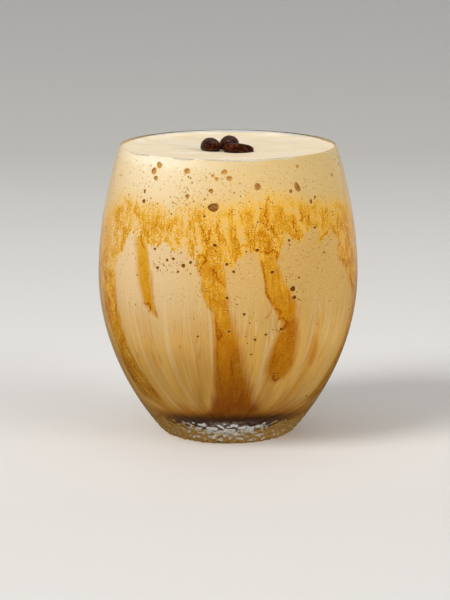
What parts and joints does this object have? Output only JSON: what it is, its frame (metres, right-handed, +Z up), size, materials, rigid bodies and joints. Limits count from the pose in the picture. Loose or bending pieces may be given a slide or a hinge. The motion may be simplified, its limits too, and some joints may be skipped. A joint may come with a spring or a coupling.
{
  "type": "glass of caramel frappe",
  "caption": "Clear stemless barrel tumbler, fluted inside, filled to just under its rim with whipped caramel frappe and a pale foam head with roasted coffee beans on it.",
  "frame": {"origin": "middle of the glass's foot, on the surface that it stands on", "axes": "+Z up along the glass's axis, -Y towards the side that the picture shows, +X to the right as seen from there"},
  "size_m": [0.088, 0.088, 0.1018],
  "materials": {
    "clear_glass": "clear pressed glass, polished",
    "caramel": "dark glossy caramel sauce mixed with coffee",
    "frappe": "whipped milky coffee, streaked with golden caramel",
    "foam": "pale cream-coloured milk foam with small bubbles",
    "roasted_bean": "dark roast, satin with a little oil"
  },
  "bodies": {
    "root": {"glass": "clear_glass", "caramel_pool": "caramel", "frappe": "frappe", "foam_head": "foam", "coffee_bean_left": "roasted_bean", "coffee_bean_middle": "roasted_bean", "coffee_bean_right": "roasted_bean"}
  },
  "joints": []
}
